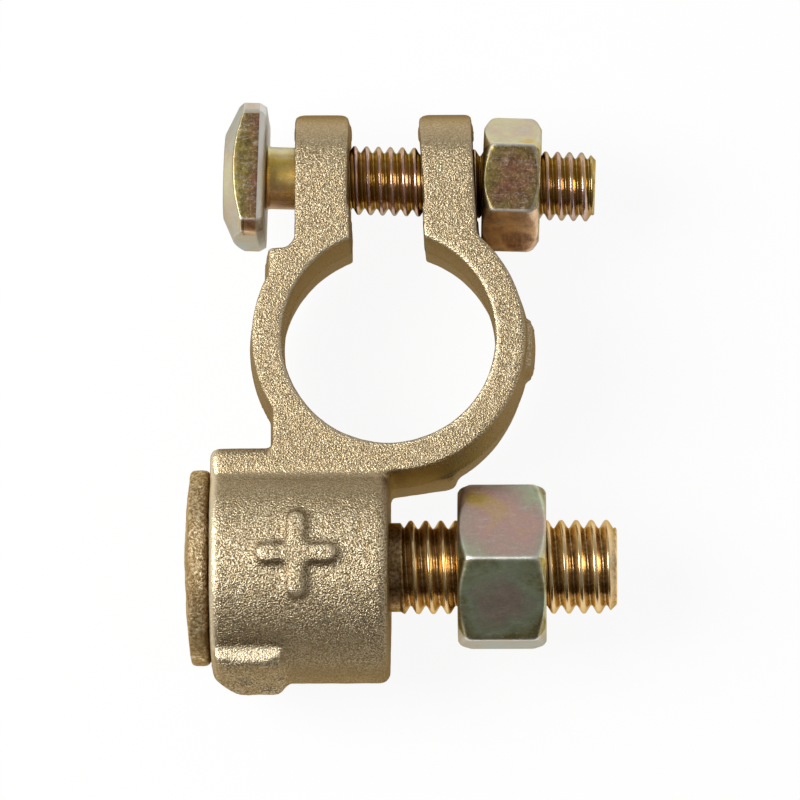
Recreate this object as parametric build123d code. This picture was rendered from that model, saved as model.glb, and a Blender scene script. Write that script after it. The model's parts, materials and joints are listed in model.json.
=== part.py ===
"""Battery terminal clamp: a cast brass clamp for the positive post of a vehicle battery.

The casting is a split ring with two ears, joined by a web to a barrel that holds a pressed-in
brass stud. A square-head bolt draws the ears together, and a nut on the stud holds a cable's
eyelet against the barrel.

Frame, in millimetres: +Z runs up along the battery post, +X along the cable stud towards its
nut, and +Y from the post towards the ears. The origin is on the post bore's axis, in the
casting's parting plane, which is half way up the ring.
"""
import os
from math import atan2, degrees, radians, sqrt, tan

from build123d import *

# Casting
HALF_H = 7.0                # height of the ring above and below the parting plane
RING_R = 11.75              # outer radius of the ring at the parting plane
DRAFT = 2.8                 # degrees, of the outer walls away from the parting plane

# Post bore: a cylindrical land at the top, then the taper of a battery post
BORE_R = 8.75
BORE_LAND = 7.5
POST_TAPER = 1 / 9          # on the diameter
BORE_BEVEL = 0.2

# Ears, at the parting plane
EAR_TIP_Y = 19.75
EAR_FOOT_Y = 8.0
LEFT_EAR_X = (-8.03, -3.12)
RIGHT_EAR_X = (2.88, 7.62)  # at the foot
RIGHT_EAR_LEAN = 3.0        # degrees, inwards over the slot
EAR_CORNER_R = 1.1          # seen from above
EAR_NOSE_R = 5.8            # seen from the side
EAR_DRAFT = 1.4             # degrees

# Ledge beside the left ear, which stops the square head from turning
LEDGE_X = (-10.5, -7.5)
LEDGE_Y = (4.6, 7.95)
LEDGE_R = 0.7
FOOT_R = 0.8                # fillets at the feet of the ears

# Barrel with the cable stud's axis, and the flat-topped web that joins it to the ring
STUD_Y = -18.33
BARREL_R = 9.74
BARREL_X = (-14.88, 0.06)
BARREL_EDGE_R = 0.9
WEB_X = -10.0
WEB_Y = -9.1
WEB_EDGE_R = 1.1

# Raised plus sign, of nearly half-round bars
PLUS_AT = (-7.55, -18.5)
PLUS_SPAN = (7.0, 7.4)      # along X and along Y
PLUS_W = 1.85
PLUS_RISE = 0.65
PLUS_EDGE_R = 0.6

# Stub of the pouring gate, and the ground-off pad of a feeder
GATE_X = (-14.45, -8.8)
GATE_OUT_Y = -29.2
GATE_TOP = (-27.35, 6.2)    # y and z of its upper outer edge
GATE_BREAK = (1.7, 1.6)     # broken corner, along X and along Y
PAD_R = 12.2
PAD_Y = (-2.35, 2.2)
PAD_HALF_Z = 3.8
PAD_CORNER_R = 0.4

# Straight stretch along the ring's lower half beside the barrel
HEEL_X = (0.0, 5.4)
HEEL_Y = (-11.6, -10.85)
HEEL_R = 1.0

# Pinch bolt, M6, askew in its clearance holes
HOLE_R = 3.25
BOLT_Y = 14.35              # of the holes' axis, and of the bolt's where it crosses x = 0
BOLT_TILT = 1.93            # degrees
M6_R = 2.94
M6_PITCH = 1.0
SHANK_R = 2.6
HEAD_AF = 10.94
HEAD_CORNER = 0.86
HEAD_X = (-13.82, -10.32)
HEAD_FACE_R = 3.6
HEAD_CONE = 25.0            # degrees
HEAD_UNDERCUT = (0.5, 1.2)  # bevel under the head, along the bolt and across it
M6_CREST_X = -5.56          # where the first crest of its thread begins
BOLT_END_X = 17.2

# Pinch nut, M6
PINCH_NUT_X = (7.80, 12.62)
PINCH_NUT_AF = 9.8
PINCH_NUT_TURN = -3.6       # degrees, of its lowest corner past straight down

# Cable stud, M8, with the round head that is pressed against the barrel
M8_R = 3.9
M8_PITCH = 1.25
M8_CREST_X = 0.66
STUD_END_X = 18.83
STUD_HEAD_R = 8.29
STUD_HEAD_X = (-16.62, -14.88)
STUD_DOME = 0.55
STUD_RIM_R = 0.45

# Cable nut, M8
CABLE_NUT_X = (5.62, 12.97)
CABLE_NUT_AF = 13.0
CABLE_NUT_TURN = 27.6

THREAD_DEPTH = 0.62         # of the pitch
THREAD_CLEAR = 0.05         # between a nut's bore and its thread's crests
NUT_CHAMFER = 30.0          # degrees


def mid(pair):
    return (pair[0] + pair[1]) / 2


def span(pair):
    return pair[1] - pair[0]


def box_from(x, y):
    """A rectangle in plan between two pairs of limits."""
    return Pos(mid(x), mid(y)) * Rectangle(span(x), span(y))


def nearest(shape, x, y):
    """The vertex of a plan that lies nearest to a point."""
    return shape.vertices().sort_by_distance(Vector(x, y))[0]


def ear_plans():
    """Both ears at the parting plane, with rounded tips."""
    left = box_from(LEFT_EAR_X, (EAR_FOOT_Y - 4, EAR_TIP_Y))
    left = fillet(left.vertices().sort_by(Axis.Y)[-2:], EAR_CORNER_R)
    right = box_from(RIGHT_EAR_X, (EAR_FOOT_Y - 4, EAR_TIP_Y + 0.2))
    right = fillet(right.vertices().sort_by(Axis.Y)[-2:], EAR_CORNER_R)
    foot = (RIGHT_EAR_X[1], EAR_FOOT_Y)
    right = Pos(*foot) * Rot(0, 0, RIGHT_EAR_LEAN) * Pos(-foot[0], -foot[1]) * right
    return left, right


def ring_block():
    """The ring before it is bored, with the ledge and the web down to the barrel."""
    ledge = box_from(LEDGE_X, LEDGE_Y)
    ledge = fillet(ledge.vertices().group_by(Axis.X)[0].sort_by(Axis.Y)[-1:], LEDGE_R)
    web = box_from((WEB_X, 0), (-RING_R, 0))
    blocks = [extrude(plan, HALF_H, both=True, taper=DRAFT) for plan in (Circle(RING_R), ledge, web)]
    return blocks[0] + blocks[1] + blocks[2]


def ears():
    """Both ears, their noses rounded in side view."""
    side = box_from((-RING_R, EAR_TIP_Y), (-HALF_H, HALF_H))
    side = fillet(side.vertices().sort_by(Axis.X)[-2:], EAR_NOSE_R)
    nose = extrude(Plane.YZ * side, 2 * RING_R, both=True)
    left, right = ear_plans()
    return [extrude(plan, HALF_H, both=True, taper=EAR_DRAFT) & nose for plan in (left, right)]


def ring_with_ears():
    """The ring and its ears, with a fillet where each ear's flank runs into the ring."""
    left, right = ears()
    body = ring_block() + left + right
    flanks = body.edges().filter_by(lambda e: abs(e.length - HALF_H) < 0.1)
    feet = flanks.filter_by_position(Axis.Y, EAR_FOOT_Y, EAR_FOOT_Y + 1)
    return fillet(feet, FOOT_R)


def slot():
    """The gap between the ears, open towards the tips and into the bore."""
    left, right = ear_plans()
    gap = box_from((mid(LEFT_EAR_X), mid(RIGHT_EAR_X)), (0, EAR_TIP_Y + 2))
    return extrude(gap - left - right, HALF_H + 1, both=True)


def post_bore():
    """The bore: bevel, cylindrical land, taper and bevel, from the top down."""
    land_z = HALF_H - BORE_LAND
    foot_r = BORE_R + (land_z + HALF_H) * POST_TAPER / 2
    profile = Polyline(
        (0, HALF_H), (BORE_R + BORE_BEVEL, HALF_H), (BORE_R, HALF_H - BORE_BEVEL),
        (BORE_R, land_z), (foot_r, BORE_BEVEL - HALF_H), (foot_r + BORE_BEVEL, -HALF_H),
        (0, -HALF_H), close=True,
    )
    return revolve(Plane.XZ * make_face(profile), Axis.Z)


def barrel():
    """The barrel and its flat-topped web, one section drawn along the stud, with rounded ends."""
    section = Pos(STUD_Y, 0) * Circle(BARREL_R)
    web = box_from((STUD_Y, WEB_Y), (-HALF_H, HALF_H))
    section += fillet(web.vertices().sort_by(Axis.X)[-2:], WEB_EDGE_R)
    body = Pos(BARREL_X[0], 0, 0) * extrude(Plane.YZ * section, span(BARREL_X))
    ends = body.faces().filter_by(Axis.X)
    return fillet(ends.edges(), BARREL_EDGE_R)


def plus_sign():
    """Two crossing ridges that follow the barrel's curve."""
    along_x, along_y = PLUS_SPAN
    bars = SlotOverall(along_x, PLUS_W) + SlotOverall(along_y, PLUS_W, rotation=90)
    blank = extrude(Pos(*PLUS_AT, HALF_H) * bars, 2 * HALF_H)
    skin = Cylinder(BARREL_R + PLUS_RISE, 2 * span(BARREL_X), rotation=(0, 90, 0))
    plus = blank & (Pos(PLUS_AT[0], STUD_Y, 0) * skin)
    return fillet(plus.faces().sort_by(Axis.Z)[-1].edges(), PLUS_EDGE_R)


def gate_stub():
    """What is left of the pouring gate, low on the barrel, with one corner broken off."""
    edge_y, edge_z = GATE_TOP
    profile = Polyline(
        (STUD_Y, edge_z), (edge_y, edge_z), (GATE_OUT_Y, 0), (edge_y, -edge_z),
        (STUD_Y, -edge_z), close=True,
    )
    stub = extrude(Plane.YZ * make_face(profile), span(GATE_X))
    stub = Pos(GATE_X[0], 0, 0) * stub
    corner = (GATE_X[0], GATE_OUT_Y)
    run_x, run_y = GATE_BREAK
    wedge = make_face(Polyline(corner, (corner[0] + run_x, corner[1]), (corner[0], corner[1] + run_y),
                               close=True))
    return stub - extrude(wedge, 2 * HALF_H, both=True)


def feeder_pad():
    """The low pad that grinding a feeder off has left on the ring's outside."""
    plan = Circle(PAD_R) & box_from((RING_R - 2, PAD_R), PAD_Y)
    plan = fillet(plan.vertices().group_by(Axis.X)[-1], PAD_CORNER_R)
    return extrude(plan, PAD_HALF_Z, both=True, taper=DRAFT)


def straight_heel():
    """The ring's lower half runs straight out from the barrel before it turns up."""
    heel = make_face(Polyline((-1, -RING_R + 2), (-1, HEEL_Y[0]), (HEEL_X[0], HEEL_Y[0]),
                              (HEEL_X[1], HEEL_Y[1]), (HEEL_X[1] + 1, -RING_R + 4), close=True))
    heel = fillet(nearest(heel, HEEL_X[1], HEEL_Y[1]), HEEL_R)
    return extrude(heel, -HALF_H)


def clamp_body():
    body = ring_with_ears() + barrel() + plus_sign() + gate_stub() + feeder_pad() + straight_heel()
    bolt_holes = Cylinder(HOLE_R, 3 * RING_R, rotation=(0, 90, 0))
    stud_bore = Cylinder(M8_R, 3 * span(BARREL_X), rotation=(0, 90, 0))
    body = body - slot() - post_bore() - Pos(0, BOLT_Y, 0) * bolt_holes
    return body - Pos(mid(BARREL_X), STUD_Y, 0) * stud_bore


def turned(points, axis_y):
    """A body of revolution about a line along X; points are (x, radius)."""
    profile = Polyline(*points, close=True)
    return Pos(0, axis_y, 0) * revolve(make_face(profile), Axis.X)


def thread_outline(first_x, end_x, crest_r, pitch):
    """Half section of a thread as parallel grooves, with its end chamfer; points are (x, radius)."""
    depth = THREAD_DEPTH * pitch
    grooves = int((end_x - depth - first_x) / pitch - 0.1)
    points = []
    for x in (first_x + k * pitch for k in range(grooves + 1)):
        points += [(x, crest_r), (x + pitch / 8, crest_r), (x + pitch * 9 / 16, crest_r - depth)]
    return points + [(end_x - depth, crest_r), (end_x, crest_r - depth), (end_x, 0)]


def cable_stud():
    """The stud: round domed head, plain shank and M8 thread."""
    head_l, head_r = STUD_HEAD_X
    outline = Polyline(
        (head_l, STUD_HEAD_R), (head_r, STUD_HEAD_R), (head_r, M8_R),
        *thread_outline(M8_CREST_X, STUD_END_X, M8_R, M8_PITCH), (head_l - STUD_DOME, 0),
    )
    dome = TangentArc((head_l - STUD_DOME, 0), (head_l, STUD_HEAD_R), tangent=(0, 1))
    section = make_face([outline, dome])
    rim = section.vertices().group_by(Axis.Y)[-1]
    return Pos(0, STUD_Y, 0) * revolve(fillet(rim, STUD_RIM_R), Axis.X)


def pinch_bolt():
    """The square-head bolt, straight along X."""
    shank = turned(
        [(HEAD_X[1] - 1, 0), (HEAD_X[1] - 1, SHANK_R + 0.35), (HEAD_X[1], SHANK_R + 0.35),
         (HEAD_X[1] + 0.35, SHANK_R), (M6_CREST_X - 0.35, SHANK_R),
         *thread_outline(M6_CREST_X, BOLT_END_X, M6_R, M6_PITCH)], 0)
    square = chamfer(Rectangle(HEAD_AF, HEAD_AF).vertices(), HEAD_CORNER)
    under_x = HEAD_X[1] - HEAD_UNDERCUT[0]
    head = Pos(HEAD_X[0], 0, 0) * extrude(Plane.YZ * square, under_x - HEAD_X[0])
    slope = degrees(atan2(HEAD_UNDERCUT[1], HEAD_UNDERCUT[0]))
    head += Pos(under_x, 0, 0) * extrude(Plane.YZ * square, HEAD_UNDERCUT[0], taper=slope)
    reach = HEAD_AF
    cone_x = HEAD_X[0] + (reach - HEAD_FACE_R) * tan(radians(HEAD_CONE))
    head &= turned([(HEAD_X[0], 0), (HEAD_X[0], HEAD_FACE_R), (cone_x, reach), (HEAD_X[1], reach),
                    (HEAD_X[1], 0)], 0)
    return head + shank


def hex_nut(x, flats, thread_r, turn):
    """A nut along X with both faces chamfered; turn is the angle of its lowest corner."""
    corner_r = flats / sqrt(3)
    face_r = 0.475 * flats
    cone = (corner_r - face_r) * tan(radians(NUT_CHAMFER))
    hexagon = RegularPolygon(corner_r, 6, rotation=-turn)
    nut = Pos(x[0], 0, 0) * extrude(Plane.YZ * hexagon, span(x))
    nut &= turned([(x[0], 0), (x[0], face_r), (x[0] + cone, corner_r), (x[1] - cone, corner_r),
                   (x[1], face_r), (x[1], 0)], 0)
    bore_r = thread_r + THREAD_CLEAR
    lead = 0.35
    return nut - turned([(x[0], 0), (x[0], bore_r + lead), (x[0] + lead, bore_r), (x[1] - lead, bore_r),
                         (x[1], bore_r + lead), (x[1], 0)], 0)


def on_bolt_axis(shape):
    """Lay a piece that is drawn along X on the tilted axis of the pinch bolt."""
    return Pos(0, BOLT_Y, 0) * Rot(0, 0, -BOLT_TILT) * shape


if __name__ == "__main__":
    nodes = {
        "clamp_body": clamp_body(),
        "cable_stud": cable_stud(),
        "cable_nut": Pos(0, STUD_Y, 0) * hex_nut(CABLE_NUT_X, CABLE_NUT_AF, M8_R, CABLE_NUT_TURN),
        "pinch_bolt": on_bolt_axis(pinch_bolt()),
        "pinch_nut": on_bolt_axis(hex_nut(PINCH_NUT_X, PINCH_NUT_AF, M6_R, PINCH_NUT_TURN)),
    }
    os.makedirs("parts", exist_ok=True)
    for name, shape in nodes.items():
        export_step(shape, f"parts/{name}.step")
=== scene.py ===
"""Battery terminal clamp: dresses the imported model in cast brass, turned brass and yellow zinc."""

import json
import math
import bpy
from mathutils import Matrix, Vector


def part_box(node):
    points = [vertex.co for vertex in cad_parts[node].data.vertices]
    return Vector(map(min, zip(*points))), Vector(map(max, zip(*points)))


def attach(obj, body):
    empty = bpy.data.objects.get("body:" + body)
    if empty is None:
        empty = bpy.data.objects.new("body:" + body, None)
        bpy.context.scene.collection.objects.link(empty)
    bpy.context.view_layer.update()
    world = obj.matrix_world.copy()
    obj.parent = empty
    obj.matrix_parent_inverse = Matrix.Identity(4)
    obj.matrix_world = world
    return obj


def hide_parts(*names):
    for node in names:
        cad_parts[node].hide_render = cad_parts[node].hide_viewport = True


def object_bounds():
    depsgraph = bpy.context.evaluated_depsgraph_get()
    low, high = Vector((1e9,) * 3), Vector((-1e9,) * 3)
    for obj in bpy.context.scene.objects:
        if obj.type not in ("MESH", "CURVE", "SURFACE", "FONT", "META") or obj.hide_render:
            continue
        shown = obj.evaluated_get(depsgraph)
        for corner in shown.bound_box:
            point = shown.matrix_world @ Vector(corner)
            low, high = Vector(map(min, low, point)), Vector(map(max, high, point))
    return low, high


bl_info = {
    "name": "Battery Terminal Clamp",
    "version": (1, 0, 0),
    "blender": (4, 5, 0),
    "location": "View3D > Sidebar > Terminal Clamp",
    "description": "Builds the detailed casting, threads, nuts and finishes of a battery terminal clamp",
    "category": "Object",
}

import bmesh
import bpy
import numpy as np
from bpy.props import FloatProperty, FloatVectorProperty, IntProperty, PointerProperty
from mathutils import Matrix, Vector, noise

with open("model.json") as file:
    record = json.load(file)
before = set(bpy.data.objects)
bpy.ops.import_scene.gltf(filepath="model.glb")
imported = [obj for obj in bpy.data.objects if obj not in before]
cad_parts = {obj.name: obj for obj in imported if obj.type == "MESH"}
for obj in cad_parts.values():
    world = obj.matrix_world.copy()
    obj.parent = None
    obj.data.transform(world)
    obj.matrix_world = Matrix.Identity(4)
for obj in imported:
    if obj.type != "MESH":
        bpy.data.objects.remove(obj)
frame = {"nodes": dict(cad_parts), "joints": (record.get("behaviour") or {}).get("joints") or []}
CAD_LOW, CAD_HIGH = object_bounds()

MM = 0.001


# ---------------------------------------------------------------- sizes, in millimetres


def box_mm(node):
    """Lowest and highest corner of a CAD node."""
    low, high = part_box(node)
    return np.array(low) / MM, np.array(high) / MM


def joint_axis(name):
    """Unit direction of a joint, turned so that it points towards +X."""
    joint = next(j for j in frame["joints"] if j["name"] == name)
    axis = Vector(joint["axis"]).normalized()
    return axis if axis.x > 0 else -axis


# Casting: where the finish of its skin changes
BORE_EDGE_R = 9.0           # of the worn edge round the top of the bore
SIGN_AT = (-7.55, -18.5)
SIGN_REACH = 4.4
SIGN_FOOT_Z = 5.0
LEDGE_AT = (-9.9, 6.2)
LEDGE_REACH = 1.6
STUB_AT = (-8.2, -26.6)     # the gate stub lies beyond this corner, in -X and in -Y
STUB_FADE = 0.6
STUB_CUT_AT = (-7.4, -25.2)
STUB_LOW_Y = -27.6
STUB_LUMPS = 0.45
WORN_SMOOTH_PASSES = 15     # for the skin of stub and ledge
WEB_Y = (-14.2, -10.8)      # between the barrel and the ring
EAR_TIPS_Y = 15.6
BARREL_RIM_X = -13.9
SEAM_HALF = 0.16            # half width of the mould's parting line
SKIN_MARGIN = 0.05          # depth of the skin below the solid, before waves and grain

# Cable stud
STUD_LOW, STUD_HIGH = box_mm("cable_stud")
STUD_Y = (STUD_LOW[1] + STUD_HIGH[1]) / 2
STUD_RIM_R = (STUD_HIGH[1] - STUD_LOW[1]) / 2
STUD_DOME = 0.55            # rise of the head's dome
STUD_BACK = 2.44            # from the top of the dome to the head's back, just inside the barrel
STUD_NECK = 0.2             # how far the neck lies below the crests
STUD_NECK_END = 0.8
STUD_CREST_X = 1.68
STUD_DENTS = 0.22
STUD_PITS = 0.05

# Cable nut
CABLE_NUT_LOW, CABLE_NUT_HIGH = box_mm("cable_nut")
CABLE_NUT_FLATS = 13.0
CABLE_NUT_TURN = 27.6       # degrees, by which its lowest corner is turned
STAIN_AT = (1.2, 41.0)      # yellow-brown corner: from the left face, and degrees round the axis
STAIN_SIZE = (1.3, 10.0)

# Pinch bolt, drawn along +X and then laid on its tilted axis
BOLT_AXIS = joint_axis("pinch_bolt_slide")
BOLT_AT = Vector((0, 14.35, 0))
HEAD_FLATS = 10.94
HEAD_CORNER = 7.128         # from the axis to each cut corner
HEAD_X = (-13.82, -10.32)
HEAD_FACE_R = 3.6
HEAD_CONE = 25.0            # degrees
SHANK_R = 2.6
SHANK_FOOT = 0.35           # fillet between head and shank
SHANK_END = -6.9
M6_START = -6.0
M6_CREST_X = -3.05
BOLT_END = 17.2

# Pinch nut, drawn as the bolt is
PINCH_NUT_X = (7.80, 12.62)
PINCH_NUT_FLATS = 9.8
PINCH_NUT_TURN = -3.6       # degrees, by which its lowest corner is turned

# Both nuts and both threads
NUT_COLUMNS = 288
NUT_FACE = 0.475            # radius of a nut's flat face, as a share of its width across flats
NUT_CHAMFER = 30.0          # degrees
NUT_CLEAR = 0.05            # between a nut's bore and its thread's crests
COUNTERSINK = ((0.0, 0.38), (0.12, 0.24), (0.3, 0.04), (0.4, 0.0))  # (depth, rise above the bore)
THREAD_ANGLE = 30.0         # degrees, of each flank
THREAD_DEPTH = 0.58         # of the pitch
NUT_THREAD_DEPTH = 0.3      # of the pitch
CREST_HALF = 0.12           # half a crest's width, as a share of the pitch
CREST_BLUR = 0.055          # rounding of crest and root, as a share of the pitch
END_GAP = 0.02              # between a thread's end and the end of its solid


# ---------------------------------------------------------------- settings


class CastingSettings(bpy.types.PropertyGroup):
    """The cast body."""

    voxel: FloatProperty(
        name="Skin spacing", description="Distance between neighbouring points of the cast skin",
        default=0.228 * MM, min=0.1 * MM, unit="LENGTH", precision=6)
    grain: FloatProperty(
        name="Grain depth", description="Depth of the sand grain left by the mould",
        default=0.022 * MM, min=0, unit="LENGTH", precision=6)
    swell: FloatProperty(
        name="Unevenness", description="Depth of the slow waves in the cast skin",
        default=0.07 * MM, min=0, unit="LENGTH", precision=6)
    colour: FloatVectorProperty(
        name="Cast brass", description="Colour of the clean cast metal",
        default=(0.66, 0.515, 0.305), min=0, max=1, subtype="COLOR", size=3)
    dull: FloatVectorProperty(
        name="Dull brass", description="Colour in the pits of the skin",
        default=(0.25, 0.17, 0.08), min=0, max=1, subtype="COLOR", size=3)
    # Painted shade: the colour laid on the steep walls and on the barrel's outer side.
    shaded_wall: FloatVectorProperty(
        name="Side walls", description="Browner colour painted as shade on the steep walls and the barrel's outer side",
        default=(0.36, 0.265, 0.15), min=0, max=1, subtype="COLOR", size=3)


class ThreadSettings(bpy.types.PropertyGroup):
    """Both threads."""

    stud_pitch: FloatProperty(
        name="Stud pitch", description="Distance the cable nut travels in one turn",
        default=1.25 * MM, min=0.1 * MM, unit="LENGTH", precision=6)
    stud_radius: FloatProperty(
        name="Stud radius", description="Radius of the stud's crests",
        default=3.9 * MM, min=0.5 * MM, unit="LENGTH", precision=6)
    bolt_pitch: FloatProperty(
        name="Bolt pitch", description="Distance the pinch nut travels in one turn",
        default=1.0 * MM, min=0.1 * MM, unit="LENGTH", precision=6)
    bolt_radius: FloatProperty(
        name="Bolt radius", description="Radius of the bolt's crests",
        default=2.94 * MM, min=0.5 * MM, unit="LENGTH", precision=6)
    around: IntProperty(
        name="Points around",
        description="Points round a thread; the stud has twice and the bolt two and a half times as many",
        default=112, min=24, max=256)


class FinishSettings(bpy.types.PropertyGroup):
    """Colours of the turned and plated pieces."""

    brass: FloatVectorProperty(
        name="Turned brass", description="Colour of the stud's thread",
        default=(0.88, 0.67, 0.38), min=0, max=1, subtype="COLOR", size=3)
    tarnish: FloatVectorProperty(
        name="Tarnish", description="Brown in the roots of the stud's thread and on its head",
        default=(0.23, 0.13, 0.05), min=0, max=1, subtype="COLOR", size=3)
    zinc: FloatVectorProperty(
        name="Zinc", description="Pale colour of the plating",
        default=(0.63, 0.66, 0.61), min=0, max=1, subtype="COLOR", size=3)
    olive: FloatVectorProperty(
        name="Passivate olive", description="Dark tint of the yellow passivate",
        default=(0.34, 0.28, 0.07), min=0, max=1, subtype="COLOR", size=3)
    gold: FloatVectorProperty(
        name="Passivate gold", description="Yellow tint of the passivate",
        default=(0.68, 0.47, 0.085), min=0, max=1, subtype="COLOR", size=3)
    rose: FloatVectorProperty(
        name="Passivate rose", description="Pink tint of the passivate",
        default=(0.69, 0.45, 0.40), min=0, max=1, subtype="COLOR", size=3)
    green: FloatVectorProperty(
        name="Passivate green", description="Pale green tint of the passivate",
        default=(0.56, 0.64, 0.42), min=0, max=1, subtype="COLOR", size=3)


class StageSettings(bpy.types.PropertyGroup):
    """Floor and light."""

    floor: FloatVectorProperty(
        name="Floor", description="Colour of the floor",
        default=(0.93, 0.93, 0.92), min=0, max=1, subtype="COLOR", size=3)
    key: FloatProperty(
        name="Key light", description="Power of the large soft light at the upper left",
        default=2.4, min=0, unit="POWER")
    rim: FloatProperty(
        name="Side light",
        description="Power of the soft light on the right; the one behind has a quarter of it",
        default=0.18, min=0, unit="POWER")


# ---------------------------------------------------------------- mesh helpers


# Edges found with these two numbers are lightened as wear and as painted highlight.
EDGE_GAIN = 30.8            # how fast a bend of the surface counts as a worn edge
EDGE_FLOOR = 0.35           # what is taken off that, so that gentle bends stay unworn
WELD = 2e-7                 # metres; points nearer than this become one
AXIS_R = 1e-5               # radius that stands for a point on the axis


def link(name, mesh):
    obj = bpy.data.objects.new(name, mesh)
    bpy.context.scene.collection.objects.link(obj)
    return obj


def quads(rows, cols, shift=0):
    """Faces of a grid that closes on itself sideways; the seam climbs by shift rows."""
    i, j = np.meshgrid(np.arange(rows - 1), np.arange(cols), indexing="ij")
    step = np.where(j == cols - 1, shift, 0)
    beside = (j + 1) % cols
    faces = np.stack([i * cols + j, (i + step) * cols + beside,
                      (i + 1 + step) * cols + beside, (i + 1) * cols + j], -1).reshape(-1, 4)
    return faces[(faces < rows * cols).all(1)]


def mesh_of_skins(name, skins):
    """One closed mesh from grids of points that share their border rings."""
    points, faces, start = [], [], 0
    for grid, shift in skins:
        rows, cols = grid.shape[:2]
        points.append(grid.reshape(-1, 3))
        faces.append(quads(rows, cols, shift) + start)
        start += rows * cols
    points = np.concatenate(points) * MM
    mesh = bpy.data.meshes.new(name)
    mesh.from_pydata(points.tolist(), [], np.concatenate(faces).tolist())
    bm = bmesh.new()
    bm.from_mesh(mesh)
    bmesh.ops.remove_doubles(bm, verts=bm.verts, dist=WELD)
    loose = [v for v in bm.verts if not v.link_faces]
    bmesh.ops.delete(bm, geom=loose, context="VERTS")
    bmesh.ops.recalc_face_normals(bm, faces=bm.faces)
    for face in bm.faces:
        face.smooth = True
    bm.to_mesh(mesh)
    bm.free()
    return mesh


def around(cols):
    return np.linspace(0, 2 * math.pi, cols, endpoint=False)


def polar(x, r, theta):
    """Points about the X axis, with the angle measured from +Y towards +Z."""
    x, r, theta = np.broadcast_arrays(x, r, theta)
    return np.stack([x, r * np.cos(theta), r * np.sin(theta)], -1)


def turned_skin(points, cols):
    """A turned surface through (x, radius) points."""
    points = np.array(points, float)
    return polar(points[:, :1], np.maximum(points[:, 1:], AXIS_R), around(cols)[None]), 0


def length(vectors):
    return np.linalg.norm(vectors, axis=-1, keepdims=True)


def rounded(points, radius, steps=5):
    """An outline with each corner between its ends rounded; points may be arrays of points."""
    points = [np.array(p, float) for p in points]
    out = [points[0]]
    for before, here, after in zip(points, points[1:], points[2:]):
        a, b = before - here, after - here
        cut = np.minimum(radius, 0.45 * np.minimum(length(a), length(b)))
        a, b = here + a / length(a) * cut, here + b / length(b) * cut
        for t in np.linspace(0, 1, steps):
            out.append((1 - t) ** 2 * a + 2 * t * (1 - t) * here + t * t * b)
    return out + [points[-1]]


def divided(points, step):
    """An outline with points added wherever it has none for longer than step."""
    out = [points[0]]
    for a, b in zip(points, points[1:]):
        count = max(int(math.ceil(length(b - a).max() / step)), 1)
        out += [a + (b - a) * k / count for k in range(1, count + 1)]
    return out


def prism_skin(corners, theta, soft, step=0.4):
    """The side of a chamfered prism; corners are (x, radius) pairs that may vary with the angle."""
    path = [np.stack(np.broadcast_arrays(x, r, theta)[:2], -1) for x, r in corners]
    path = np.array(divided(rounded(path, soft), step))
    return polar(path[..., 0], path[..., 1], theta[None])


def disc_between(outer, x, radius, theta, rings=9):
    """Rings from an outer ring of points in to a circle."""
    inner = polar(x, radius, theta)
    steps = np.linspace(0, 1, rings)[:, None, None]
    return outer[None] * (1 - steps) + inner[None] * steps


def thread_profile(pitch, depth):
    """Depth below the crest against the phase, from 0 to 1, of a thread with rounded crests."""
    phase = np.linspace(0, 1, 512, endpoint=False)
    away = np.abs((phase + 0.5) % 1 - 0.5) * pitch
    cut = np.clip((away - CREST_HALF * pitch) / math.tan(math.radians(THREAD_ANGLE)), 0, depth)
    blur = np.exp(-0.5 * (np.minimum(phase, 1 - phase) / CREST_BLUR) ** 2)
    cut = np.real(np.fft.ifft(np.fft.fft(cut) * np.fft.fft(blur / blur.sum())))
    return phase, cut - cut.min()


def thread_skin(start, end, radius, pitch, cols, crest_at, run_in, chamfer, neck, per_turn):
    """A right-handed thread from start to end, fading in from a plain neck that lies lower."""
    phase, cut = thread_profile(pitch, THREAD_DEPTH * pitch)
    rows = int(math.ceil((end - start) / pitch * per_turn)) + 2 * per_turn + 2
    theta = around(cols)[None]
    x = start - pitch + np.arange(rows)[:, None] * pitch / per_turn + pitch * theta / (2 * math.pi)
    x = np.clip(x, start, end)
    turn = ((x - crest_at) / pitch - theta / (2 * math.pi)) % 1
    depth = np.interp(turn, phase, cut, period=1)
    fade = np.clip((x - start) / run_in, 0, 1)
    fade = fade * fade * (3 - 2 * fade)
    r = radius - depth * fade - neck * (1 - fade)
    r = np.minimum(r, radius - chamfer + (end - x))
    return polar(x, r, theta), per_turn


def end_face(ring, x):
    """Rings from a thread's last ring in to the middle of its flat end."""
    middle = np.array([x, 0, 0])
    face = np.stack([ring * (1 - t) + middle * t for t in (0, 0.04, 0.3, 0.6, 0.999)])
    face[1:, :, 0] = x
    return face


def prism_radius(theta, sides, sharp=150.0):
    """Radius of a prism with slightly rounded edges; sides are (angle, distance) pairs."""
    total = 0.0
    for angle, distance in sides:
        total = total + (np.maximum(np.cos(theta - angle), 1e-9) / distance) ** sharp
    return total ** (-1.0 / sharp)


def above(values, start, width):
    """0 up to start, and from there a straight rise to 1 over the width."""
    return np.clip((values - start) / width, 0, 1)


def below(values, start, width):
    """0 down to start, and below it a straight rise to 1 over the width."""
    return np.clip((start - values) / width, 0, 1)


def paint(mesh, name, values):
    """Stores one number for each point, for the material to read."""
    layer = mesh.attributes.new(name, "FLOAT", "POINT")
    layer.data.foreach_set("value", np.asarray(values, np.float32))


def points_of(mesh):
    co = np.zeros(len(mesh.vertices) * 3)
    mesh.vertices.foreach_get("co", co)
    return co.reshape(-1, 3)


def normals_of(mesh):
    no = np.zeros(len(mesh.vertices) * 3)
    mesh.vertices.foreach_get("normal", no)
    return no.reshape(-1, 3)


def noise_round(theta, seed):
    """Smooth noise round a turned piece, about -1 to 1."""
    ring = np.stack([np.cos(theta), np.sin(theta), np.full_like(theta, seed)], -1)
    return noise_at(ring, 0.35, seed)


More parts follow.
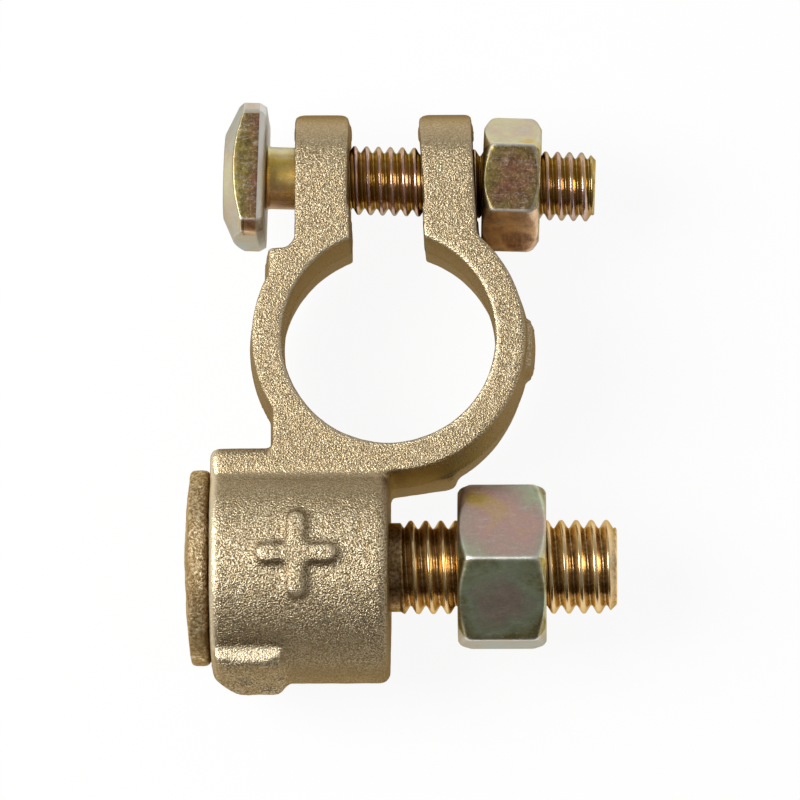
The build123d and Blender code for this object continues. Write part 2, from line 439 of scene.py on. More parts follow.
def neighbour_mean(mesh, values):
    """Mean over the points joined to each point by an edge."""
    pairs = np.zeros(len(mesh.edges) * 2, np.int64)
    mesh.edges.foreach_get("vertices", pairs)
    a, b = pairs.reshape(-1, 2).T
    total = np.zeros_like(values)
    np.add.at(total, a, values[b])
    np.add.at(total, b, values[a])
    count = np.bincount(pairs, minlength=len(values)).astype(float)
    return total / (count[:, None] if values.ndim == 2 else count)


def softened(mesh, values, times=3):
    """Values drawn half way to their neighbours' mean, a few times over."""
    for _ in range(times):
        values = 0.5 * values + 0.5 * neighbour_mean(mesh, values)
    return values


def edge_wear_and_highlight(mesh):
    """High where neighbouring normals differ, which is on the edges between flats."""
    spread = 1 - np.linalg.norm(neighbour_mean(mesh, normals_of(mesh)), axis=1)
    spread = np.maximum(spread, neighbour_mean(mesh, spread))
    return np.clip(EDGE_GAIN * spread - EDGE_FLOOR, 0, 1)


def noise_at(points_mm, size, seed):
    """Smooth noise, about -1 to 1, with features of the given size in millimetres."""
    offset = Vector((seed * 7.13, seed * 3.71, seed * 5.57))
    return np.array([noise.noise(Vector(p) / size + offset) for p in points_mm.tolist()])


def depth_noise(points_mm, size, seed):
    """The same noise, about 0 to 1."""
    return 0.5 + 0.5 * noise_at(points_mm, size, seed)


# ---------------------------------------------------------------- materials


class Nodes:
    """Short forms for the nodes of one material."""

    def __init__(self, name):
        self.material = bpy.data.materials.new(name)
        self.material.use_nodes = True
        self.tree = self.material.node_tree
        self.shader = self.tree.nodes["Principled BSDF"]
        self.place = self.add("ShaderNodeTexCoord").outputs["Object"]

    def add(self, kind):
        return self.tree.nodes.new(kind)

    def feed(self, socket, value):
        if isinstance(value, bpy.types.NodeSocket):
            self.tree.links.new(value, socket)
        else:
            socket.default_value = value

    def noise(self, size_mm, detail=2.0, rough=0.5, distort=0.0, vector=None):
        node = self.add("ShaderNodeTexNoise")
        self.feed(node.inputs["Vector"], vector or self.place)
        self.feed(node.inputs["Scale"], 1 / (size_mm * MM))
        self.feed(node.inputs["Detail"], detail)
        self.feed(node.inputs["Roughness"], rough)
        self.feed(node.inputs["Distortion"], distort)
        return node.outputs["Fac"]

    def stretched(self, factors):
        node = self.add("ShaderNodeMapping")
        self.feed(node.inputs["Vector"], self.place)
        self.feed(node.inputs["Scale"], factors)
        return node.outputs[0]

    def read(self, name):
        node = self.add("ShaderNodeAttribute")
        node.attribute_name = name
        return node.outputs["Fac"]

    def ramp(self, value, stops):
        node = self.add("ShaderNodeValToRGB")
        band = node.color_ramp
        band.elements.remove(band.elements[-1])
        for index, (at, colour) in enumerate(stops):
            element = band.elements[0] if index == 0 else band.elements.new(at)
            element.position = at
            element.color = (*colour, 1)
        self.feed(node.inputs["Fac"], value)
        return node.outputs["Color"]

    def mix(self, factor, a, b, how="MIX"):
        node = self.add("ShaderNodeMix")
        node.data_type = "RGBA"
        node.blend_type = how
        self.feed(node.inputs[0], factor)
        self.feed(node.inputs[6], a)
        self.feed(node.inputs[7], b)
        return node.outputs[2]

    def math(self, how, a, b=0.0, clamp=False):
        node = self.add("ShaderNodeMath")
        node.operation = how
        node.use_clamp = clamp
        self.feed(node.inputs[0], a)
        self.feed(node.inputs[1], b)
        return node.outputs[0]

    def span(self, value, low, high, to_low=0.0, to_high=1.0):
        node = self.add("ShaderNodeMapRange")
        for socket, number in zip(node.inputs, (value, low, high, to_low, to_high)):
            self.feed(socket, number)
        return node.outputs[0]

    def bump(self, height, depth_mm, strength=1.0, normal=None):
        node = self.add("ShaderNodeBump")
        self.feed(node.inputs["Height"], height)
        self.feed(node.inputs["Distance"], depth_mm * MM)
        self.feed(node.inputs["Strength"], strength)
        if normal:
            self.feed(node.inputs["Normal"], normal)
        return node.outputs["Normal"]

    def finish(self, **sockets):
        for name, value in sockets.items():
            self.feed(self.shader.inputs[name.replace("_", " ").title()], value)
        return self.material


def rgba(colour):
    return (*colour, 1.0)


def shade(colour, share):
    """A colour made darker, or lighter with a share above 1."""
    return [channel * share for channel in colour]


# Tints that the settings don't hold
BRIGHT_GRAIN = (0.98, 0.85, 0.61)
BRIGHT_PITTED = (1.0, 0.90, 0.68)
PALE_BRASS = (1.0, 0.86, 0.60)
RED_BRASS = (0.62, 0.38, 0.15)
HEAD_DARK = (0.22, 0.14, 0.06)
HEAD_MIDDLE = (0.55, 0.41, 0.22)
HEAD_STAIN = (0.33, 0.215, 0.09)
STUD_GRAZING = (0.72, 0.56, 0.32)
PALE_BUFF = (0.70, 0.58, 0.45)
PALE_YELLOW = (0.74, 0.69, 0.44)
ORANGE = (0.76, 0.52, 0.25)
GREY_BROWN = (0.58, 0.48, 0.38)
DARK_OLIVE = (0.26, 0.18, 0.06)
RED_BROWN = (0.30, 0.13, 0.08)
BRIGHT_COPPER = (1.0, 0.65, 0.36)
DULL_BROWN = (0.30, 0.17, 0.10)
SPECK = (0.88, 0.84, 0.70)
ROOT_BROWN = (0.20, 0.10, 0.05)
STREAK = (0.84, 0.76, 0.70)
BARE_ZINC_AND_HIGHLIGHT = (0.92, 0.90, 0.85)
ZINC_GRAZING = (0.5, 0.48, 0.40)
SCRATCHES_PER_METRE = (2200.0, 9000.0, 2200.0)


def cast_brass(settings):
    """Sand-cast brass: bright grain over dull pits, worn edges lightened partly as painted highlight, and
    painted shade on the walls.
    """
    n = Nodes("sand_cast_brass")
    wear_and_highlight, smooth, shaded_wall, barrel = (n.read(name) for name in ("wear_and_highlight", "smooth", "shaded_wall", "barrel"))
    fine = n.noise(0.14, 2.0, 0.5)
    coarse = n.noise(0.42, 2.0, 0.5)
    cloud = n.noise(5.0, 3.0, 0.55)
    keep = n.math("MULTIPLY", n.span(smooth, 0, 1, 1.0, 0.25), n.span(wear_and_highlight, 0, 1, 1.0, 0.5))
    brass, dull = settings.colour, settings.dull
    metal = n.ramp(fine, [(0.38, dull), (0.47, shade(brass, 0.70)), (0.55, brass), (0.65, BRIGHT_GRAIN)])
    metal = n.mix(0.26, metal, rgba(shade(brass, 0.68)))
    pitted = n.ramp(fine, [(0.41, shade(dull, 0.7)), (0.475, shade(brass, 0.75)),
                           (0.53, shade(brass, 1.15)), (0.59, BRIGHT_PITTED)])
    metal = n.mix(n.math("MULTIPLY", barrel, 0.7), metal, pitted)
    even = [0.5 * (c + d) for c, d in zip(brass, dull)]
    metal = n.mix(n.math("SUBTRACT", 0.75, n.math("MULTIPLY", keep, 0.75)), metal, rgba(brass))
    metal = n.mix(n.span(cloud, 0.4, 0.7, 0.0, 0.35), metal, rgba(even))
    # Painted shade: the steep walls and the barrel's outer side are drawn towards a browner colour.
    metal = n.mix(n.math("MULTIPLY", shaded_wall, 0.85), metal, rgba(settings.shaded_wall))
    # Edges lightened towards pale brass: partly real wear, partly painted highlight.
    metal = n.mix(n.span(wear_and_highlight, 0.0, 1.0, 0.0, 0.7), metal, rgba(PALE_BRASS))
    rough = n.span(fine, 0.35, 0.65, 0.42, 0.30)
    rough = n.math("ADD", rough, n.math("MULTIPLY", shaded_wall, 0.08))
    normal = n.bump(coarse, 0.06, 0.6)
    normal = n.bump(fine, 0.13, keep, normal)
    return n.finish(Base_Color=metal, Metallic=1.0, Roughness=rough, Normal=normal,
                    Specular_Tint=rgba(settings.shaded_wall))


def turned_brass(settings):
    """The stud's brass: glossy on the thread, tarnished in its roots, dull and pitted on the head."""
    n = Nodes("polished_stud_brass")
    hollow, rough_skin = n.read("hollow"), n.read("rough")
    cloud = n.noise(1.6, 4.0, 0.6)
    stain = n.noise(0.3, 3.0, 0.6)
    metal = n.mix(n.span(cloud, 0.35, 0.7, 0.0, 0.5), rgba(settings.brass), rgba(RED_BRASS))
    dark = n.math("MULTIPLY", hollow, n.span(stain, 0.35, 0.65, 0.9, 0.35))
    skin = n.ramp(n.noise(0.26, 3.0, 0.6), [(0.36, HEAD_DARK), (0.50, HEAD_MIDDLE), (0.64, PALE_BRASS)])
    skin = n.mix(n.span(cloud, 0.42, 0.6, 0.0, 0.7), skin, rgba(HEAD_STAIN))
    metal = n.mix(rough_skin, metal, skin)
    metal = n.mix(dark, metal, rgba(settings.tarnish))
    rough = n.math("ADD", n.span(cloud, 0.3, 0.7, 0.17, 0.30), n.math("MULTIPLY", rough_skin, 0.25))
    grain = n.noise(0.15, 3.0, 0.6)
    normal = n.bump(grain, 0.13, n.span(rough_skin, 0, 1, 0.05, 0.9))
    return n.finish(Base_Color=metal, Metallic=1.0, Roughness=rough, Normal=normal,
                    Specular_Tint=rgba(STUD_GRAZING))


def film_tints(settings):
    """The passivate's colours by the thickness of its film, which runs from 0 to 1."""
    return [(0.0, settings.zinc), (0.06, PALE_BUFF), (0.12, PALE_YELLOW), (0.22, settings.gold),
            (0.30, ORANGE), (0.38, settings.rose), (0.46, GREY_BROWN), (0.54, settings.green),
            (0.64, settings.olive), (0.74, DARK_OLIVE), (0.84, RED_BROWN), (0.92, BRIGHT_COPPER),
            (1.0, DULL_BROWN)]


def yellow_zinc(settings):
    """Yellow passivated zinc: film colours, blotches, pale streaks, bare edges lightened partly as painted
    highlight, and brown roots.
    """
    n = Nodes("yellow_passivate")
    hollow, film = n.read("hollow"), n.read("film")
    drift = n.noise(2.6, 3.0, 0.5, 0.5)
    phase = n.math("ADD", film, n.span(drift, 0.3, 0.7, -0.05, 0.05))
    tint = n.ramp(phase, film_tints(settings))
    speck = n.noise(0.18, 2.0, 0.6)
    blotch = n.span(n.noise(0.5, 3.0, 0.6), 0.36, 0.64, 0.62, 1.2)
    spotty = n.math("MULTIPLY", n.span(phase, 0.54, 0.68, 0.12, 1.0), n.span(phase, 0.84, 0.9, 1.0, 0.2))
    tint = n.mix(spotty, tint, blotch, "MULTIPLY")
    tint = n.mix(n.span(speck, 0.54, 0.74, 0.0, 0.34), tint, rgba(SPECK))
    tint = n.mix(n.math("MULTIPLY", hollow, 0.5), tint, rgba(ROOT_BROWN))
    edge = n.read("edge")
    streak = n.noise(1.1, 3.0, 0.6, 1.2, n.stretched((1.0, 4.0, 1.6)))
    lines = n.math("MULTIPLY", n.span(streak, 0.54, 0.70, 0.0, 0.5), n.span(drift, 0.42, 0.6))
    tint = n.mix(lines, tint, rgba(STREAK))
    # Edges drawn towards pale zinc: partly bare worn zinc, partly painted highlight.
    tint = n.mix(n.math("MULTIPLY", edge, 0.85), tint, rgba(BARE_ZINC_AND_HIGHLIGHT))
    rough = n.span(n.noise(0.9, 3.0, 0.6), 0.3, 0.7, 0.28, 0.38)
    rough = n.math("ADD", rough, n.math("MULTIPLY", edge, 0.15))
    rough = n.math("SUBTRACT", rough, n.math("MULTIPLY", n.span(hollow, 0.0, 0.3), 0.12))
    scratch = n.add("ShaderNodeTexNoise")
    n.feed(scratch.inputs["Vector"], n.stretched(SCRATCHES_PER_METRE))
    n.feed(scratch.inputs["Scale"], 1.0)
    n.feed(scratch.inputs["Detail"], 3.0)
    normal = n.bump(scratch.outputs["Fac"], 0.02, 0.3)
    normal = n.bump(n.noise(0.35, 3.0, 0.6), 0.03, 0.5, normal)
    return n.finish(Base_Color=tint, Metallic=1.0, Roughness=rough, Normal=normal,
                    Specular_Tint=rgba(ZINC_GRAZING))


def zinc_of(context):
    """The plating's material, made once."""
    return bpy.data.materials.get("yellow_passivate") or yellow_zinc(context.scene.clamp_finish)


# ---------------------------------------------------------------- the pieces


def even_skin(settings):
    """The casting's solid under small even faces with softened edges, in millimetres."""
    mesh = frame["nodes"]["clamp_body"].data.copy()
    mesh.transform(Matrix.Scale(1 / MM, 4))
    block = link("casting_block", mesh)
    remesh = block.modifiers.new("skin", "REMESH")
    remesh.mode = "VOXEL"
    remesh.voxel_size = settings.voxel / MM * 1.0
    soften = block.modifiers.new("soften", "SMOOTH")
    soften.factor = 0.5
    soften.iterations = 3
    graph = bpy.context.evaluated_depsgraph_get()
    skin = bpy.data.meshes.new_from_object(block.evaluated_get(graph))
    bpy.data.objects.remove(block)
    bpy.data.meshes.remove(mesh)
    return skin


def outward_bend(skin, points, normals, spacing):
    """How sharply the skin bends outwards at each point, smoothed."""
    bend = np.einsum("ij,ij->i", points - neighbour_mean(skin, points), normals)
    return softened(skin, bend * (4 / spacing ** 2))


def plan_distance(points, at):
    """Distance from a point of the plan."""
    return np.hypot(points[:, 0] - at[0], points[:, 1] - at[1])


def painted_wall_shade(y, normals, in_sign, left_edge, stub):
    """Where shade is painted: high on the steep walls and on the outer side of the barrel, low on the sign
    and the rims.
    """
    wall_shade = np.clip(1.42 - 1.6 * np.abs(normals[:, 2]), 0, 1)
    wall_shade *= (1 - 0.6 * in_sign) * (1 - left_edge) * (1 - 0.5 * stub)
    wall_shade *= 1 - 0.5 * below(y, STUB_LOW_Y, 0.8)
    # Painted shade on the barrel's outer side, which faces -Y.
    outer_side_shade = 0.6 * np.clip(-2 * normals[:, 1] - 0.5, 0, 1) * (1 - stub)
    return np.maximum(wall_shade, outer_side_shade)


def cast_skin(settings):
    """The casting's skin: softened edges, slow waves and sand grain, never outside its solid."""
    skin = even_skin(settings)
    points, normals = points_of(skin), normals_of(skin)
    bend = outward_bend(skin, points, normals, settings.voxel / MM)
    ledge = np.clip(LEDGE_REACH - plan_distance(points, LEDGE_AT), 0, 1)
    stub = below(points[:, 1], STUB_AT[1], STUB_FADE) * below(points[:, 0], STUB_AT[0], STUB_FADE)
    for _ in range(WORN_SMOOTH_PASSES):
        points = points + (neighbour_mean(skin, points) - points) * np.maximum(stub, ledge)[:, None]

    x, y, z = points.T
    level = above(y, WEB_Y[0], 1.6) * below(y, WEB_Y[1], 0.5)
    smooth = np.maximum(above(y, EAR_TIPS_Y, 1.8), 0.7 * level)
    in_sign = np.clip(SIGN_REACH - plan_distance(points, SIGN_AT), 0, 1) * (z > SIGN_FOOT_Z)
    left_edge = below(x, BARREL_RIM_X, 0.4) * np.clip(2.5 * normals[:, 2], 0, 1)
    # Painted shade on the steep walls and the barrel's -Y side; the parting line follows the same walls.
    wall_shade = softened(skin, painted_wall_shade(y, normals, in_sign, left_edge, stub))
    seam = wall_shade * np.exp(-(z / SEAM_HALF) ** 2)
    waves = settings.swell / MM * depth_noise(points, 3.5, 1)
    grain = settings.grain / MM * (depth_noise(points, 0.8, 2) + depth_noise(points, 0.42, 3))
    depth = (SKIN_MARGIN + waves + grain * (1 - 0.6 * smooth)) * (1 - seam)
    depth += STUB_LUMPS * stub * np.clip(noise_at(points, 1.2, 11), 0, 1)
    points = points - normals * depth[:, None]
    skin.vertices.foreach_set("co", (points * MM).ravel())
    skin.update()
    for polygon in skin.polygons:
        polygon.use_smooth = True

    x, y, z = points.T
    # Light edges round the bore and on the sign, only where they face up: partly wear, partly painted
    # highlight.
    by_bore = np.exp(-((np.hypot(x, y) - BORE_EDGE_R) / 0.7) ** 2)
    shown = np.maximum(by_bore, 0.8 * in_sign)
    wear_and_highlight = above(bend, 0.7, 1.2) * (0.12 + 0.88 * shown) * (normals[:, 2] > 0.1)
    # Painted highlight along the barrel's left rim, where it faces -X.
    wear_and_highlight = np.maximum(wear_and_highlight, 0.9 * left_edge * np.clip(-2 * normals[:, 0], 0, 1))
    # Painted highlight on the top facet of the cut gate stub.
    cut = (x < STUB_CUT_AT[0]) & (y < STUB_CUT_AT[1]) & (z > 0)
    paint(skin, "wear_and_highlight", np.maximum(wear_and_highlight, 0.6 * cut * above(normals[:, 2], 0.86, 0.06)))
    paint(skin, "smooth", smooth)
    paint(skin, "barrel", below(y, WEB_Y[0], 1.5))
    paint(skin, "shaded_wall", wall_shade)
    return skin


def hex_sides(flats, turn_deg):
    """Directions and distances of a nut's six flats; turn moves its lowest corner."""
    first = math.radians(-turn_deg)
    return [(first + math.radians(60 * k + 30), flats / 2) for k in range(6)]


def nut_mesh(name, x, flats, turn_deg, bore, pitch, place):
    """A chamfered hexagon nut with countersunk ends and a threaded bore."""
    theta = around(NUT_COLUMNS)
    radius = prism_radius(theta, hex_sides(flats, turn_deg))
    face = NUT_FACE * flats
    bevel = (radius - face) * math.tan(math.radians(NUT_CHAMFER)) + 0.04 * noise_round(theta, 2)
    side = prism_skin([(x[0], face), (x[0] + bevel, radius), (x[1] - bevel, radius), (x[1], face)],
                      theta, 0.5)
    mouth_r = bore + COUNTERSINK[0][1]
    left = disc_between(side[0], x[0], mouth_r, theta)
    right = disc_between(side[-1], x[1], mouth_r, theta)
    right_mouth = [(x[1] - depth, bore + rise) for depth, rise in COUNTERSINK]
    left_mouth = [(x[0] + depth, bore + rise) for depth, rise in reversed(COUNTERSINK)]
    sunk = COUNTERSINK[-1][0]
    phase, cut = thread_profile(pitch, NUT_THREAD_DEPTH * pitch)
    rows = np.linspace(x[1] - sunk, x[0] + sunk, int((x[1] - x[0]) / pitch * 10))[:, None]
    turn = (rows / pitch - theta[None] / (2 * math.pi)) % 1
    groove = np.interp(turn, phase, cut.max() - cut, period=1)
    fade = np.clip(np.minimum(rows - rows.min(), rows.max() - rows) / 0.5, 0, 1)
    inside = polar(rows, bore + groove * fade, theta[None])
    skins = [(left, 0), (side, 0), (right, 0), turned_skin(right_mouth, NUT_COLUMNS), (inside, 0),
             turned_skin(left_mouth, NUT_COLUMNS)]
    mesh = mesh_of_skins(name, skins)
    points = points_of(mesh) / MM
    r = np.hypot(points[:, 1], points[:, 2])
    paint(mesh, "hollow", below(r, bore + 0.45, 0.3))
    paint(mesh, "edge", edge_wear_and_highlight(mesh) * (r > bore + 0.8))
    mesh.transform(place)
    return mesh, points


# Film on each flat of a nut, in its middle and at its rim, in the order of hex_sides
CABLE_NUT_FILMS = ((0.5, 0.6), (0.36, 0.54), (0.47, 0.66), (0.0, 0.04), (0.3, 0.4), (0.5, 0.7))
# The pinch nut's third flat, which faces -Y, gets bright copper film: partly passivate colour, partly a
# painted reflection of the brass casting.
PINCH_NUT_FILMS = ((0.09, 0.13), (0.82, 0.66), (0.92, 0.90), (0.5, 0.6), (0.3, 0.4), (0.6, 0.7))
END_FILM = 0.16


def facet_film(points, x, films, sides, seed):
    """Thickness of the passivate: each flat runs from one level in its middle to one at its rim."""
    theta = np.arctan2(points[:, 2], points[:, 1])
    facing = np.array([np.cos(theta - angle) for angle, _ in sides])
    along = np.abs(2 * (points[:, 0] - x[0]) / (x[1] - x[0]) - 1)
    across = np.sqrt(np.clip(1 - facing.max(0) ** 2, 0, 1)) / math.sin(math.radians(30))
    middle, rim = np.array(films)[facing.argmax(0)].T
    towards_rim = np.clip(np.hypot(along, across) / 1.25, 0, 1) ** 2
    film = middle + (rim - middle) * towards_rim
    film = np.where(along > 0.98, END_FILM, film)
    return film + 0.07 * noise_at(points, 3.0, seed)


def stud_outline(radius):
    """(x, radius) points of the stud's head and neck, from the top of the dome."""
    left = STUD_LOW[0]
    back = left + STUD_BACK
    neck = radius - STUD_NECK
    dome = [(left + STUD_DOME * (r / STUD_RIM_R) ** 2, r) for r in np.linspace(0, STUD_RIM_R - 1.3, 24)]
    shoulder = rounded([dome[-1], (left + 0.50, STUD_RIM_R - 0.02), (back, STUD_RIM_R + 0.01),
                        (back, radius + 0.3)], 1.0)
    shank = rounded([(back, radius + 0.3), (back, neck), (STUD_NECK_END, neck)], 0.2)
    return divided([np.array(p) for p in dome + shoulder[1:]], 0.3) + shank[1:]


def stud_mesh(thread):
    """The stud about the X axis, with the dents of its head and the tarnish of its thread."""
    radius, pitch, cols = thread.stud_radius / MM, thread.stud_pitch / MM, 2 * thread.around
    right = STUD_HIGH[0]
    screw = thread_skin(STUD_NECK_END, right - END_GAP, radius, pitch, cols, STUD_CREST_X,
                        run_in=0.45, chamfer=0.75, neck=STUD_NECK, per_turn=14)
    tip = end_face(screw[0][-1], right)
    mesh = mesh_of_skins("stud", [turned_skin(stud_outline(radius), cols), screw, (tip, 0)])
    points = points_of(mesh) / MM
    x = points[:, 0]
    r = np.hypot(points[:, 1], points[:, 2])
    hollow = below(r, radius - 0.12, 0.4 * pitch) * (x > 1.3) * (x < right - 0.1)
    # The neck next to the barrel is darkened all round as well.
    hollow = np.maximum(hollow, 1.2 * below(x, 1.5, 0.3) * (x > 0))
    on_head = above(r, radius, 0.4) * (x < 0)
    on_head = np.maximum(on_head, x < STUD_LOW[0] + 1.5)
    at_barrel = below(x, 1.45, 0.3) * (x > -14.5)
    paint(mesh, "hollow", np.maximum(hollow, 0.15 * on_head))
    paint(mesh, "rough", np.maximum(on_head, 0.3 * at_barrel))
    dents = STUD_DENTS * depth_noise(points, 2.6, 6) + STUD_PITS * depth_noise(points, 0.8, 7)
    moved = points - normals_of(mesh) * (dents * on_head)[:, None]
    mesh.vertices.foreach_set("co", (moved * MM).ravel())
    mesh.update()
    mesh.transform(Matrix.Translation((0, STUD_Y * MM, 0)))
    return mesh


def bolt_place():
    """From a bolt drawn along +X to its tilted axis."""
    turn = Vector((1, 0, 0)).rotation_difference(BOLT_AXIS).to_matrix().to_4x4()
    return Matrix.Translation(BOLT_AT * MM) @ turn


def head_sides():
    """Directions and distances of the square head's four flats and four cut corners."""
    quarter = math.pi / 2
    flats = [(quarter * k, HEAD_FLATS / 2) for k in range(4)]
    return flats + [(quarter * (k + 0.5), HEAD_CORNER) for k in range(4)]


def head_skins(cols):
    """The square head, from the middle of its front to the start of the shank."""
    left, under = HEAD_X
    theta = around(cols)
    radius = prism_radius(theta, head_sides())
    crease = left + (radius - HEAD_FACE_R) * math.tan(math.radians(HEAD_CONE))
    crease = crease + 0.10 * noise_round(theta, 4)
    side = prism_skin([(left, HEAD_FACE_R), (crease, radius), (under - 0.55, radius),
                       (under, radius - 0.38)], theta, 0.10)
    front = disc_between(side[0], left, AXIS_R, theta)
    floor = disc_between(side[-1], under, SHANK_R + SHANK_FOOT, theta)
    neck = rounded([(under, SHANK_R + SHANK_FOOT), (under + 0.08, SHANK_R + 0.1),
                    (under + 0.35, SHANK_R), (SHANK_END, SHANK_R)], 0.25)
    return [(front, 0), (side, 0), (floor, 0), turned_skin(neck, cols)]


def bolt_film(points, r, radius):
    """Thickness of the passivate on thread, shank, the head's front and its upper flat, with painted
    reflection bands on thread and shank.
    """
    x, y, z = points.T
    under = HEAD_X[1]
    lean = y / np.maximum(r, 0.1)
    # Painted reflection: thread and shank get paler film on their +Y side and more orange film on their -Y
    # side.
    thread = 0.27 + 0.11 * above(r, radius - 0.35, 0.2) - 0.06 * np.clip(lean, 0, 1)
    shank = 0.25 - 0.15 * above(lean, 0.35, 0.5) + 0.06 * np.clip(-lean, 0, 1)
    front = 0.01 + 0.10 * np.exp(-((y + 1.8) / 2.4) ** 2)
    film = np.where(x < M6_START - 0.2, shank, thread)
    film = np.where(x < under + 0.05, front, film)
    angle = np.arctan2(z, y)
    on_side = (r > 0.98 * prism_radius(angle, head_sides())) & (x < under - 0.5)
    up = on_side & (np.abs(angle - math.pi / 2) < 0.68)
    film = np.where(up, 0.69 + 0.13 * above(x, under - 1.9, 1.6), film)
    corner = 0.87 * above(x, under - 2.0, 0.4) * (np.abs(angle - 0.75 * math.pi) < 0.3)
    film = np.where(on_side & ~up, 0.02 + corner, film)
    return film + 0.05 * noise_at(points, 2.0, 8)


def bolt_mesh(thread):
    """The square-head bolt, drawn along +X and laid on its tilted axis."""
    radius, pitch, cols = thread.bolt_radius / MM, thread.bolt_pitch / MM, thread.around * 5 // 2
    crest_r = radius - 0.05
    shank = turned_skin([(SHANK_END, SHANK_R), (-6.6, SHANK_R), (-6.3, SHANK_R + 0.12),
                         (M6_START, crest_r)], cols)
    screw = thread_skin(M6_START, BOLT_END - END_GAP, crest_r, pitch, cols, M6_CREST_X,
                        run_in=0.8, chamfer=0.6, neck=0.0, per_turn=12)
    tip = end_face(screw[0][-1], BOLT_END)
    mesh = mesh_of_skins("bolt", head_skins(cols) + [shank, screw, (tip, 0)])
    points = points_of(mesh) / MM
    x = points[:, 0]
    r = np.hypot(points[:, 1], points[:, 2])
    on_thread = x > M6_START - 0.2
    hollow = below(r, radius - 0.1, 0.45 * pitch) * on_thread * (x < BOLT_END - 0.1)
    paint(mesh, "hollow", np.maximum(hollow, 0.35 * on_thread))
    paint(mesh, "film", bolt_film(points, r, radius))
    under = HEAD_X[1]
    # Painted highlight: the bevel under the head is painted pale.
    bevel = (x > under - 0.56) & (x < under + 0.02) & (r > SHANK_R + 1.0)
    paint(mesh, "edge", np.maximum(edge_wear_and_highlight(mesh) * (x < under - 0.3), 0.9 * bevel))
    mesh.transform(bolt_place())
    return mesh


class CLAMP_OT_casting(bpy.types.Operator):
    """Make the cast brass body"""

    bl_idname = "terminal_clamp.casting"
    bl_label = "Casting"

    def execute(self, context):
        settings = context.scene.clamp_casting
        skin = cast_skin(settings)
        skin.materials.clear()
        skin.materials.append(cast_brass(settings))
        casting = link("casting", skin)
        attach(casting, "casting")
        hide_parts("clamp_body")
        return {"FINISHED"}


class CLAMP_OT_stud(bpy.types.Operator):
    """Make the turned stud with its round head and thread"""

    bl_idname = "terminal_clamp.stud"
    bl_label = "Cable stud"

    def execute(self, context):
        mesh = stud_mesh(context.scene.clamp_thread)
        mesh.materials.append(turned_brass(context.scene.clamp_finish))
        stud = link("stud", mesh)
        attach(stud, "casting")
        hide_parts("cable_stud")
        return {"FINISHED"}


class CLAMP_OT_cable_nut(bpy.types.Operator):
    """Make the hexagon nut on the stud"""

    bl_idname = "terminal_clamp.cable_nut"
    bl_label = "Cable nut"

    def execute(self, context):
        thread = context.scene.clamp_thread
        x = (CABLE_NUT_LOW[0], CABLE_NUT_HIGH[0])
        bore = thread.stud_radius / MM + NUT_CLEAR
        mesh, points = nut_mesh("stud_nut", x, CABLE_NUT_FLATS, CABLE_NUT_TURN, bore,
                                thread.stud_pitch / MM, Matrix.Translation((0, STUD_Y * MM, 0)))
        film = facet_film(points, x, CABLE_NUT_FILMS, hex_sides(CABLE_NUT_FLATS, CABLE_NUT_TURN), 5)
        theta = np.degrees(np.arctan2(points[:, 2], points[:, 1]))
        off = (points[:, 0] - x[0] - STAIN_AT[0]) / STAIN_SIZE[0]
        round_off = (theta - STAIN_AT[1]) / STAIN_SIZE[1]
        film -= 0.26 * np.exp(-off ** 2 - round_off ** 2)
        paint(mesh, "film", film)
        mesh.materials.append(zinc_of(context))
        nut = link("stud_nut", mesh)
        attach(nut, "cable_nut")
        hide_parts("cable_nut")
        return {"FINISHED"}


class CLAMP_OT_pinch_bolt(bpy.types.Operator):
    """Make the square-head bolt through the ears"""

    bl_idname = "terminal_clamp.pinch_bolt"
    bl_label = "Pinch bolt"

    def execute(self, context):
        mesh = bolt_mesh(context.scene.clamp_thread)
        mesh.materials.append(zinc_of(context))
        bolt = link("bolt", mesh)
        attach(bolt, "pinch_bolt")
        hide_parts("pinch_bolt")
        return {"FINISHED"}


class CLAMP_OT_pinch_nut(bpy.types.Operator):
    """Make the hexagon nut on the pinch bolt"""

    bl_idname = "terminal_clamp.pinch_nut"
    bl_label = "Pinch nut"

    def execute(self, context):
        thread = context.scene.clamp_thread
        bore = thread.bolt_radius / MM + NUT_CLEAR
        mesh, points = nut_mesh("bolt_nut", PINCH_NUT_X, PINCH_NUT_FLATS, PINCH_NUT_TURN, bore,
                                thread.bolt_pitch / MM, bolt_place())
        sides = hex_sides(PINCH_NUT_FLATS, PINCH_NUT_TURN)
        paint(mesh, "film", facet_film(points, PINCH_NUT_X, PINCH_NUT_FILMS, sides, 9))
        mesh.materials.append(zinc_of(context))
        nut = link("bolt_nut", mesh)
        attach(nut, "pinch_nut")
        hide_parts("pinch_nut")
        return {"FINISHED"}


# ---------------------------------------------------------------- the stage


# Lamps and the card: places and sizes in metres
AIM = (0, -0.005, 0)
KEY_AT = (-0.30, 0.0, 0.38)
KEY_SIZE = (0.24, 0.34)
SIDE_AT = (0.42, 0.03, 0.30)
SIDE_SIZE = (0.30, 0.40)
BACK_AT = (0.04, 0.42, 0.17)
BACK_SIZE = (0.5, 0.12)
CARD_SIZE = (0.3, 0.040)
CARD_Y = -0.075
CARD_GAP = 0.0001           # between the lowest point and the card's foot
FLOOR_SIZE = 6.0
FLOOR_GAP = 0.0002          # between the lowest point and the floor
FLOOR_GLOW = 0.92           # share of the floor that shines by itself, so that it stays white
FELT = (0.06, 0.036, 0.014)

# Brightness of the surroundings, from the object's -Y side to its +Y side
SKY_FRONT = 0.12
SKY_BACK = 0.45

# Camera: angles in degrees, the rest in millimetres
CAMERA_ELEVATION = 80.5536
CAMERA_AZIMUTH = 0.9342
CAMERA_ROLL = -0.2439
CAMERA_DISTANCE = 688.098
CAMERA_AIM = (0.8293, -4.2167, 0)
CAMERA_LENS = 371.246
CAMERA_SENSOR = 36.0


